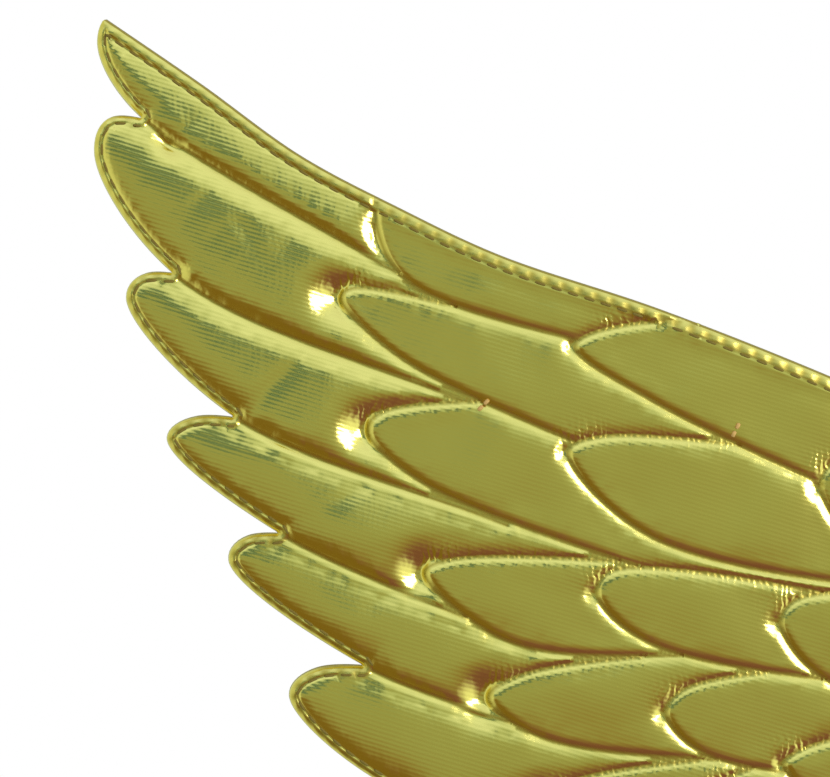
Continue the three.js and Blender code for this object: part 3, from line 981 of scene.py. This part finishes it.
# Elastic arm loops, sizes in mm as in the part.
strap = {
    "width": 15.0, "thickness": 1.2, "reach": 110.0, "height": 130.0, "flat": 40.0,
    "offset": 9.0, "splay": 0.3, "gap": 0.3,
    "step": 1.2, "ribs": 9, "ribDepth": 0.12, "perRib": 4, "edgeSteps": 4,
    "colour": (0.80, 0.78, 0.72), "shade": (0.62, 0.60, 0.54), "threadPitch": 1.1, "fuzz": 420.0,
    "weaveHeight": 0.00012, "roughness": 0.75, "sheen": 0.25,
}


def strapSection():
    # outline of the band's section: (across, depth), ribbed on both faces
    s = strap
    r = s["thickness"] / 2
    reach = s["width"] / 2 - r
    across = np.linspace(-reach, reach, s["ribs"] * s["perRib"] + 1)
    lift = r - s["ribDepth"] * (0.5 - 0.5 * np.cos(2 * math.pi * s["ribs"] * (across + reach) / (2 * reach)))
    bend = np.linspace(math.pi / 2, -math.pi / 2, s["edgeSteps"] + 2)[1:-1]
    edge = np.column_stack([reach + r * np.cos(bend), r * np.sin(bend)])
    face = np.column_stack([across, lift])
    return np.vstack([face, edge, -face, -edge])


def strapPiece(name, side, material):
    s = strap
    t = s["thickness"]
    ring, along = roundedRing(s["reach"] - t, s["height"] - t, (s["reach"] - t) / 2,
                              (s["height"] - s["flat"] - t) / 2, s["step"])
    length = along[-1]
    ring, along = ring[:-1], along[:-1]
    way = np.roll(ring, -1, axis=0) - np.roll(ring, 1, axis=0)
    way /= np.linalg.norm(way, axis=1)[:, None]
    outward = np.column_stack([way[:, 1], -way[:, 0]])
    section = strapSection()
    stations, points = len(ring), len(section)
    place = ring[:, None, :] + outward[:, None, :] * section[None, :, 1:2]
    back = place[..., 0] + s["reach"] / 2 + s["gap"]
    x = side * (s["offset"] + s["splay"] * back) + section[None, :, 0]
    verts = np.stack([x, back, place[..., 1]], axis=-1).reshape(-1, 3) * mm
    i, j = np.meshgrid(np.arange(stations), np.arange(points), indexing="ij")
    iNext, jNext = (i + 1) % stations, (j + 1) % points
    quads = (i * points + j, iNext * points + j, iNext * points + jNext, i * points + jNext)
    piece = meshPiece(name, verts, np.stack(quads, axis=-1).reshape(-1, 4), material)
    # each corner's own place along the band, so that the last span doesn't run backwards
    i0 = np.repeat(along, points)
    i1 = np.repeat(np.append(along[1:], length), points)
    w0 = np.tile(section[:, 0], stations)
    w1 = np.tile(np.roll(section[:, 0], -1), stations)
    corners = np.stack([np.column_stack(c) for c in ((w0, i0), (w0, i1), (w1, i1), (w1, i0))], axis=1)
    layer = piece.data.uv_layers.new(name="cloth")
    layer.data.foreach_set("uv", (corners / uvSpan + (0.5, 0)).astype(np.float32).ravel())
    print(name, "loop", round(length), "mm")
    return closed(piece, 0)


def elasticWebbing():
    s = strap
    material, tree, shader = nodeMaterial("elastic_webbing")
    uv = node(tree, "ShaderNodeUVMap", uv_map="cloth").outputs[0]
    weave = bands(tree, uv, "Y", s["threadPitch"], distortion=1.5, detail=2.0, detailScale=2.0)
    fuzz = mottle(tree, uv, s["fuzz"], detail=4.0)
    both = node(tree, "ShaderNodeMath", {0: weave, 1: fuzz}, operation="ADD")
    bump = node(tree, "ShaderNodeBump", {"Height": both.outputs[0], "Strength": 0.6,
                                         "Distance": s["weaveHeight"]})
    tree.links.new(mixed(tree, weave, s["shade"], s["colour"]), shader.inputs["Base Color"])
    tree.links.new(bump.outputs[0], shader.inputs["Normal"])
    shader.inputs["Roughness"].default_value = s["roughness"]
    shader.inputs["Sheen Weight"].default_value = s["sheen"]
    return material


webbing = elasticWebbing()
for name, side, cadNode in (("left_strap_band", -1, "left_strap"), ("right_strap_band", 1, "right_strap")):
    band = strapPiece(name, side, webbing)
    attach(band, "root")
    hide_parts(cadNode)

# Stitches: short threads laid along lines by Geometry Nodes, sizes in mm.
thread = {
    "edge": {"length": 2.2, "radius": 0.30, "pitch": 3.4},
    "tack": {"length": 1.7, "radius": 0.22, "pitch": 2.4},
    "knot": {"length": 1.3, "radius": 0.45, "pitch": 1.5},
    "box": (5.2, 16.0), "boxStep": 0.2,   # half width and half height of the straps' sewn boxes
    "knots": [((153.9, 64.4), (152.7, 65.6)), ((103.2, 59.2), (102.4, 60.8))],   # ends left in the lines
    "sides": 6, "lift": 0.04, "knotLift": 0.2, "clear": 1.6,
    # the edge thread is real; its dark colour is painted shade of the stitch holes
    "gold": (0.20, 0.15, 0.03), "loose": (0.60, 0.38, 0.13), "pale": (0.78, 0.76, 0.70),
    "twist": 2600.0, "twistShade": 0.6, "roughness": 0.85, "specular": 0.15,
}


def threadMaterial(name, colour):
    material, tree, shader = nodeMaterial(name)
    where = node(tree, "ShaderNodeTexCoord").outputs["Object"]
    shade = [thread["twistShade"] * c for c in colour]
    twist = mottle(tree, where, thread["twist"], detail=2.0)
    tree.links.new(mixed(tree, twist, shade, colour), shader.inputs["Base Color"])
    shader.inputs["Roughness"].default_value = thread["roughness"]
    shader.inputs["Specular IOR Level"].default_value = thread["specular"]
    return material


def threadMesh(kind):
    # one stitch along Z, thin at both ends
    size = thread[kind]
    steps = ((-0.5, 0.35), (-0.36, 0.95), (0, 1.0), (0.36, 0.95), (0.5, 0.35))   # along, width
    turn = np.arange(thread["sides"]) * 2 * math.pi / thread["sides"]
    verts = [(size["radius"] * w * math.cos(a), size["radius"] * w * math.sin(a), size["length"] * z)
             for z, w in steps for a in turn]
    n = thread["sides"]
    faces = [(k * n + i, k * n + (i + 1) % n, (k + 1) * n + (i + 1) % n, (k + 1) * n + i)
             for k in range(len(steps) - 1) for i in range(n)]
    faces += [tuple(range(n))[::-1], tuple(range((len(steps) - 1) * n, len(steps) * n))]
    mesh = bpy.data.meshes.new("thread_" + kind)
    mesh.from_pydata((np.array(verts) * mm).tolist(), [], faces)
    mesh.shade_smooth()
    return mesh


def stitchTree():
    tree = bpy.data.node_groups.new("stitches", "GeometryNodeTree")
    for name, way, kind in (("Geometry", "INPUT", "Geometry"), ("Thread", "INPUT", "Object"),
                            ("Pitch", "INPUT", "Float"), ("Material", "INPUT", "Material"),
                            ("Geometry", "OUTPUT", "Geometry")):
        tree.interface.new_socket(name, in_out=way, socket_type="NodeSocket" + kind)
    given = tree.nodes.new("NodeGroupInput").outputs
    end = tree.nodes.new("NodeGroupOutput")
    curve = node(tree, "GeometryNodeMeshToCurve", {"Mesh": given["Geometry"]})
    length = node(tree, "GeometryNodeSplineLength")
    scrap = node(tree, "FunctionNodeCompare", {"A": length.outputs["Length"], "B": given["Pitch"]},
                 operation="LESS_THAN")
    whole = node(tree, "GeometryNodeDeleteGeometry",
                 {"Geometry": curve.outputs[0], "Selection": scrap.outputs[0]}, domain="CURVE")
    marks = node(tree, "GeometryNodeCurveToPoints", {"Curve": whole.outputs[0], "Length": given["Pitch"]},
                 mode="LENGTH")
    shape = node(tree, "GeometryNodeObjectInfo", {"Object": given["Thread"]})
    laid = node(tree, "GeometryNodeInstanceOnPoints",
                {"Points": marks.outputs["Points"], "Instance": shape.outputs["Geometry"],
                 "Rotation": marks.outputs["Rotation"]})
    real = node(tree, "GeometryNodeRealizeInstances", {"Geometry": laid.outputs[0]})
    dressed = node(tree, "GeometryNodeSetMaterial",
                   {"Geometry": real.outputs[0], "Material": given["Material"]})
    tree.links.new(dressed.outputs[0], end.inputs[0])
    return tree


stitches = stitchTree()


def sewn(name, kind, verts, edges, material):
    mesh = bpy.data.meshes.new(name)
    mesh.from_pydata(verts.tolist(), [list(map(int, e)) for e in edges], [])
    piece = bpy.data.objects.new(name, mesh)
    bpy.context.scene.collection.objects.link(piece)
    single = bpy.data.objects.new("thread", threadMesh(kind))
    bpy.context.scene.collection.objects.link(single)
    layer = piece.modifiers.new("stitches", "NODES")
    layer.node_group = stitches
    values = {"Thread": single, "Pitch": thread[kind]["pitch"] * mm, "Material": material}
    for socket in stitches.interface.items_tree:
        if socket.in_out == "INPUT" and socket.name in values:
            layer[socket.identifier] = values[socket.name]
    shaped = piece.evaluated_get(bpy.context.evaluated_depsgraph_get())
    made = bpy.data.meshes.new_from_object(shaped)
    piece.modifiers.remove(layer)
    piece.data = made
    made.name = name
    made.shade_smooth()
    bpy.data.objects.remove(single)
    print(name, len(made.polygons), "faces")
    return piece


def runsMesh(runs):
    # points and edges of many open runs
    counts = np.cumsum([0] + [len(r) for r in runs])
    edges = [(start + i, start + i + 1) for start, run in zip(counts, runs) for i in range(len(run) - 1)]
    return np.vstack(runs), np.array(edges)


def contour(flat, tris, field):
    # points and edges where the field is nought
    pairs, which, _ = edgesOf(tris)
    a, b = field[pairs[:, 0]], field[pairs[:, 1]]
    crossed = (a < 0) != (b < 0)
    share = (a / np.where(a == b, 1, a - b))[crossed, None]
    points = flat[pairs[crossed, 0]] * (1 - share) + flat[pairs[crossed, 1]] * share
    number = np.full(len(pairs), -1)
    number[crossed] = np.arange(crossed.sum())
    per = number[which.reshape(-1, 3)]
    two = (per >= 0).sum(axis=1) == 2
    return points, np.sort(per[two], axis=1)[:, 1:]


flatTree = pointTree(flat)
# edge stitches: real thread, darkened as painted shade of the stitch holes
goldThread = threadMaterial("gold_thread", thread["gold"])
edgePoints, edgeEdges = contour(flat, tris, rimGap - beadAt[rimNear])
edgeEdges = edgeEdges[nearest(innerTree, edgePoints[edgeEdges].mean(axis=1))[0] > thread["clear"]]
edgeHeight = height[nearest(flatTree, edgePoints)[1]] + thread["lift"]
for side, word in ((-1, "left"), (1, "right")):
    line = placed(edgePoints, edgeHeight, side)
    piece = sewn(f"{word}_wing_edge_stitches", "edge", line, edgeEdges, goldThread)
    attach(piece, "root")

knotPoints, knotEdges = runsMesh([np.array(run) for run in thread["knots"]])
knotHeight = height[nearest(flatTree, knotPoints)[1]] + thread["knotLift"]
knots = sewn("left_wing_thread_ends", "knot", placed(knotPoints, knotHeight, -1), knotEdges,
             threadMaterial("loose_thread", thread["loose"]))
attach(knots, "root")

paleThread = threadMaterial("pale_thread", thread["pale"])
wide, tall = thread["box"]
crossed = [(-wide, -tall), (wide, -tall), (wide, tall), (-wide, tall), (-wide, -tall), (wide, tall)]
box, _ = evenly(np.array(crossed), thread["boxStep"])
at = strap["gap"] + strap["thickness"]
for side, word in ((-1, "left"), (1, "right")):
    spots = np.column_stack([side * (strap["offset"] + strap["splay"] * at) + box[:, 0],
                             np.full(len(box), at), box[:, 1]]) * mm
    piece = sewn(f"{word}_strap_stitches", "tack", *runsMesh([spots]), paleThread)
    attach(piece, "root")

# Camera square to the left wing, at the photograph's crop.
shot = {"out": 167.0, "up": 68.3, "height": 4.0, "frameWidth": 166.0, "lens": 100.0, "sensor": 36.0}
aim = Vector(placed(np.array([(shot["out"], shot["up"])]), np.array([shot["height"]]), -1)[0])
facing = Vector((math.sin(wingCut["sweep"]), -math.cos(wingCut["sweep"]), 0))
camera = bpy.data.objects.new("camera", bpy.data.cameras.new("camera"))
camera.data.lens = shot["lens"]
camera.data.sensor_width = shot["sensor"]
camera.location = aim + facing * (shot["frameWidth"] * mm * shot["lens"] / shot["sensor"])
camera.rotation_euler = (-facing).to_track_quat("-Z", "Y").to_euler()
camera.data.clip_start = 0.01
bpy.context.scene.collection.objects.link(camera)
bpy.context.scene.camera = camera

# Soft studio: a room that the foil mirrors, bright above and to the right, with a dark panel above the lens.
studio = {
    # degrees above the horizon, colour
    "heights": [(-90, (0.28, 0.19, 0.06)), (-60, (0.20, 0.09, 0.09)), (-42, (0.23, 0.11, 0.10)),
                (-20, (0.31, 0.27, 0.12)), (-6, (0.35, 0.405, 0.235)), (5, (0.38, 0.455, 0.27)),
                (14, (0.50, 0.65, 0.52)), (40, (0.86, 1.06, 1.12)), (90, (0.8, 0.95, 1.0))],
    # the panel: degrees where it starts, is whole, still is whole and ends, and where it ends to the right
    "panel": (0.09, 0.19, 0.20), "panelHeights": (5.0, 7.5, 14.5, 18.0), "panelSide": (0.055, 0.0),
    # each next part of the room: its colour, and where it starts and is whole, as shares up, right or forward
    "lowLeft": (0.22, 0.153, 0.03), "lowDown": (-0.10, -0.42), "lowSide": (-0.06, -0.30),
    "right": (1.05, 1.2, 0.95), "rightSide": (0.42, 0.85),
    "left": (0.72, 0.82, 0.56), "leftSide": (-0.54, -0.72),
    "behind": (0.36, 0.36, 0.20), "behindFront": (0.25, -0.25),
    "behindLeft": (0.68, 0.78, 0.54), "behindSide": (-0.05, -0.45),
    "even": (0.97, 0.97, 0.96), "backdrop": (1, 1, 1),   # what lights dull surfaces and what the camera sees
}


def studioWorld():
    s = studio
    world = bpy.data.worlds.new("studio")
    bpy.context.scene.world = world
    world.use_nodes = True
    tree = world.node_tree
    tree.nodes.clear()
    out = tree.nodes.new("ShaderNodeOutputWorld")
    way = node(tree, "ShaderNodeTexCoord").outputs["Generated"]
    up = node(tree, "ShaderNodeSeparateXYZ", {"Vector": way}).outputs["Z"]
    dots = [node(tree, "ShaderNodeVectorMath", {0: way, 1: axis}, operation="DOT_PRODUCT")
            for axis in ((-facing.y, facing.x, 0), tuple(facing))]
    side, front = (dot.outputs["Value"] for dot in dots)
    share = node(tree, "ShaderNodeMapRange", {"Value": up, "From Min": -1.0, "From Max": 1.0})
    ramp = node(tree, "ShaderNodeValToRGB", {"Fac": share.outputs[0]})
    stops = ramp.color_ramp.elements
    for i, (angle, colour) in enumerate(s["heights"]):
        at = (math.sin(math.radians(angle)) + 1) / 2
        stop = stops[i] if i < 2 else stops.new(at)
        stop.position = at
        stop.color = (*colour, 1)
    bottom, full, still, top = (math.sin(math.radians(a)) for a in s["panelHeights"])
    inBand = product(tree, eased(tree, up, bottom, full), eased(tree, up, top, still))
    inPanel = product(tree, inBand, eased(tree, side, *s["panelSide"]))
    inCorner = product(tree, eased(tree, up, *s["lowDown"]), eased(tree, side, *s["lowSide"]))
    colour = mixed(tree, inPanel, ramp.outputs[0], s["panel"])
    colour = mixed(tree, inCorner, colour, s["lowLeft"])
    colour = mixed(tree, eased(tree, side, *s["rightSide"]), colour, s["right"])
    colour = mixed(tree, eased(tree, side, *s["leftSide"]), colour, s["left"])
    rear = mixed(tree, eased(tree, side, *s["behindSide"]), s["behind"], s["behindLeft"])
    colour = mixed(tree, eased(tree, front, *s["behindFront"]), colour, rear)
    room, even, plain = (node(tree, "ShaderNodeBackground", {"Color": c, "Strength": 1.0}).outputs[0]
                         for c in (colour, (*s["even"], 1), (*s["backdrop"], 1)))
    path = node(tree, "ShaderNodeLightPath").outputs
    soft = node(tree, "ShaderNodeMixShader", {0: path["Is Diffuse Ray"], 1: room, 2: even})
    mix = node(tree, "ShaderNodeMixShader", {0: path["Is Camera Ray"], 1: soft.outputs[0], 2: plain})
    tree.links.new(mix.outputs[0], out.inputs[0])


studioWorld()

lamps = {
    # degrees right of the camera, degrees up, distance, size across and up in metres, watts, colour
    "side window": (46, 10, 0.9, 0.40, 0.46, 4.2, (1.0, 1.0, 0.98)),
}


def studioLamp(name, right, up, distance, across, tall, watts, colour):
    data = bpy.data.lights.new(name, "AREA")
    data.shape = "RECTANGLE"
    data.size, data.size_y = across, tall
    data.energy = watts
    data.color = colour
    lamp = bpy.data.objects.new(name, data)
    turned = Matrix.Rotation(math.radians(right), 3, "Z") @ facing
    way = turned * math.cos(math.radians(up)) + Vector((0, 0, math.sin(math.radians(up))))
    lamp.location = aim + way * distance
    lamp.rotation_euler = (-way).to_track_quat("-Z", "Y").to_euler()
    lamp.light_linking.receiver_collection = spared
    bpy.context.scene.collection.objects.link(lamp)


spared = bpy.data.collections.new("spared")   # what the lamps leave out: the floor is lit by the room alone
for name, lampSizes in lamps.items():
    studioLamp(name, *lampSizes)
bpy.context.scene.view_settings.view_transform = "Standard"

# Pale floor well below the wings, which hang as worn.
floor = {
    "drop": 0.25, "reach": 1.3,
    "colour": (0.93, 0.93, 0.915), "mottle": (0.90, 0.90, 0.885), "patches": 6.0, "roughness": 0.8,
    "soft": (0.45, 1.25),   # metres from the middle where it starts to thin out and ends
}


def paleFloor():
    f = floor
    material, tree, shader = nodeMaterial("pale_floor")
    where = node(tree, "ShaderNodeTexCoord").outputs["Object"]
    patches = mottle(tree, where, f["patches"], detail=4.0)
    tree.links.new(mixed(tree, patches, f["mottle"], f["colour"]), shader.inputs["Base Color"])
    shader.inputs["Roughness"].default_value = f["roughness"]
    shader.inputs["Specular IOR Level"].default_value = 0.0
    away = node(tree, "ShaderNodeVectorMath", {0: where}, operation="LENGTH")
    thin = eased(tree, away.outputs["Value"], *f["soft"])
    clear = node(tree, "ShaderNodeBsdfTransparent")
    faded = node(tree, "ShaderNodeMixShader", {0: thin, 1: shader.outputs[0], 2: clear.outputs[0]})
    tree.links.new(faded.outputs[0], tree.nodes["Material Output"].inputs[0])
    corners = ((-1, -1), (1, -1), (1, 1), (-1, 1))
    verts = np.array([(x * f["reach"], y * f["reach"], -f["drop"]) for x, y in corners])
    piece = meshPiece("pale_floor", verts, [(0, 1, 2, 3)], material)
    piece.visible_glossy = False  # the foil mirrors the room, not the floor
    spared.objects.link(piece)
    spared.collection_objects[0].light_linking.link_state = "EXCLUDE"


paleFloor()
